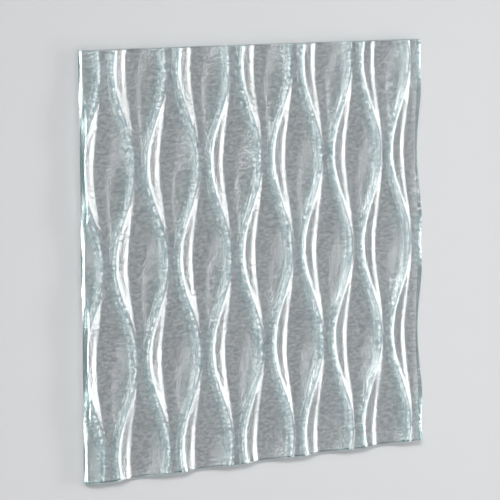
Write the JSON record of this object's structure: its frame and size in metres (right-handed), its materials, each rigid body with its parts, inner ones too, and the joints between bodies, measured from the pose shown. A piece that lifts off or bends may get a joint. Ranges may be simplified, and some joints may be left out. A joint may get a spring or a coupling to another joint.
{
  "type": "cast glass panel",
  "caption": "Square clear cast glass panel with wavy ridges and staggered lens-shaped wells, lying face up.",
  "frame": {"origin": "on the floor plane under the centre of the panel", "axes": "+X along the width, +Y up the height of the panel as it is hung, +Z out of the patterned front face"},
  "size_m": [0.61, 0.61, 0.0212],
  "materials": {
    "clear_cast_glass": "clear with a faint aqua tint, fire-polished, with a fine rippled texture"
  },
  "bodies": {
    "root": {"glass_panel": "clear_cast_glass"}
  },
  "joints": []
}
